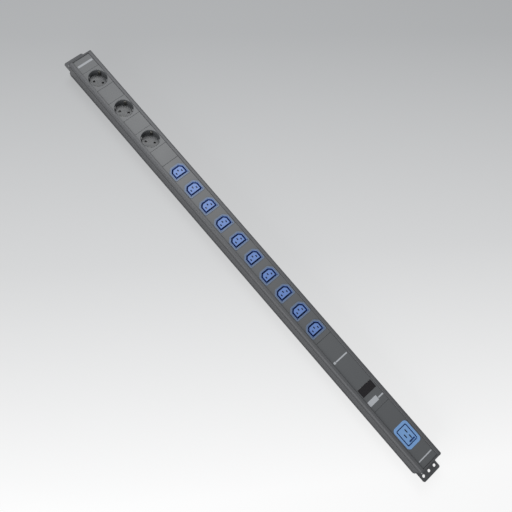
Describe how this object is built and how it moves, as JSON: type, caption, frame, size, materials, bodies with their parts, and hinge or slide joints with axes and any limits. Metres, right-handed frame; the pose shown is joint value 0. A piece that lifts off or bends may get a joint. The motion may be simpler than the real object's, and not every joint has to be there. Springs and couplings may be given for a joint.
{
  "type": "rack power strip",
  "caption": "Vertical rack power strip: anodised channel with round earthed sockets, blue appliance outlets, a current meter, one large outlet, end tabs with rack holes and an end inlet.",
  "frame": {"origin": "middle of the rear face, which the strip lies on", "axes": "+X along the strip towards the large outlet, the meter and the inlet; +Y across it; +Z out of the front"},
  "size_m": [1.17, 0.0586, 0.05],
  "materials": {
    "anodised_channel": "satin dark grey anodised, fine lines along its length",
    "end_cap_plastic": "fine moulded texture",
    "bracket_paint": "dark grey powder coat",
    "screw_steel": "zinc-plated",
    "cover_plastic": "dark grey, fine moulded texture",
    "shutter_plastic": "smooth",
    "carrier_plastic": "smooth insulating plastic",
    "contact_nickel": "nickel-plated spring strip",
    "contact_brass": "drawn strip",
    "outlet_blue": "blue, semi-gloss moulding",
    "window_lens": "dark tinted, polished",
    "display_digits": "unlit red digit block",
    "board_green": "coated circuit board",
    "transformer_black": "potted case",
    "bar_copper": "drawn copper",
    "inlet_black": "fine moulded texture",
    "lead_insulation": "soft insulation"
  },
  "bodies": {
    "strip": {"housing": "anodised_channel", "far_end_cap": "end_cap_plastic", "near_end_cap": "end_cap_plastic", "far_bracket": "bracket_paint", "near_bracket": "bracket_paint", "end_screws": "screw_steel", "far_blank_cover": "cover_plastic", "spacer_cover_1": "cover_plastic", "schuko_socket_1": "cover_plastic", "schuko_base_1": "carrier_plastic", "schuko_earth_clip_1": "contact_nickel", "spacer_cover_2": "cover_plastic", "schuko_socket_2": "cover_plastic", "schuko_base_2": "carrier_plastic", "schuko_earth_clip_2": "contact_nickel", "spacer_cover_3": "cover_plastic", "schuko_socket_3": "cover_plastic", "schuko_base_3": "carrier_plastic", "schuko_earth_clip_3": "contact_nickel", "schuko_pin_sleeves": "contact_brass", "c13_cover": "cover_plastic", "c13_outlet_1": "outlet_blue", "c13_contacts_1": "contact_brass", "c13_outlet_2": "outlet_blue", "c13_contacts_2": "contact_brass", "c13_outlet_3": "outlet_blue", "c13_contacts_3": "contact_brass", "c13_outlet_4": "outlet_blue", "c13_contacts_4": "contact_brass", "c13_outlet_5": "outlet_blue", "c13_contacts_5": "contact_brass", "c13_outlet_6": "outlet_blue", "c13_contacts_6": "contact_brass", "c13_outlet_7": "outlet_blue", "c13_contacts_7": "contact_brass", "c13_outlet_8": "outlet_blue", "c13_contacts_8": "contact_brass", "c13_outlet_9": "outlet_blue", "c13_contacts_9": "contact_brass", "c13_outlet_10": "outlet_blue", "c13_contacts_10": "contact_brass", "c19_cover": "cover_plastic", "c19_outlet": "outlet_blue", "c19_contacts": "contact_brass", "meter_cover": "cover_plastic", "display_window": "window_lens", "display_module": "display_digits", "meter_board": "board_green", "meter_screws": "screw_steel", "current_transformer": "transformer_black", "line_bus_bar": "bar_copper", "neutral_bus_bar": "bar_copper", "earth_bus_bar": "bar_copper", "bus_carrier": "carrier_plastic", "power_inlet": "inlet_black", "inlet_pins": "contact_nickel", "inlet_leads": "lead_insulation"},
    "shutter_1": {"schuko_shutter_1": "shutter_plastic"},
    "shutter_2": {"schuko_shutter_2": "shutter_plastic"},
    "shutter_3": {"schuko_shutter_3": "shutter_plastic"}
  },
  "joints": [
    {"name": "shutter_1_slide", "type": "slide", "parent": "strip", "child": "shutter_1", "axis": [-0.7071, 0.7071, 0], "range_m": [0, 0.0065], "stiffness_N_per_m": 60, "springref_m": -0.003},
    {"name": "shutter_2_slide", "type": "slide", "parent": "strip", "child": "shutter_2", "axis": [-0.7071, 0.7071, 0], "range_m": [0, 0.0065], "stiffness_N_per_m": 60, "springref_m": -0.003},
    {"name": "shutter_3_slide", "type": "slide", "parent": "strip", "child": "shutter_3", "axis": [-0.7071, 0.7071, 0], "range_m": [0, 0.0065], "stiffness_N_per_m": 60, "springref_m": -0.003}
  ]
}
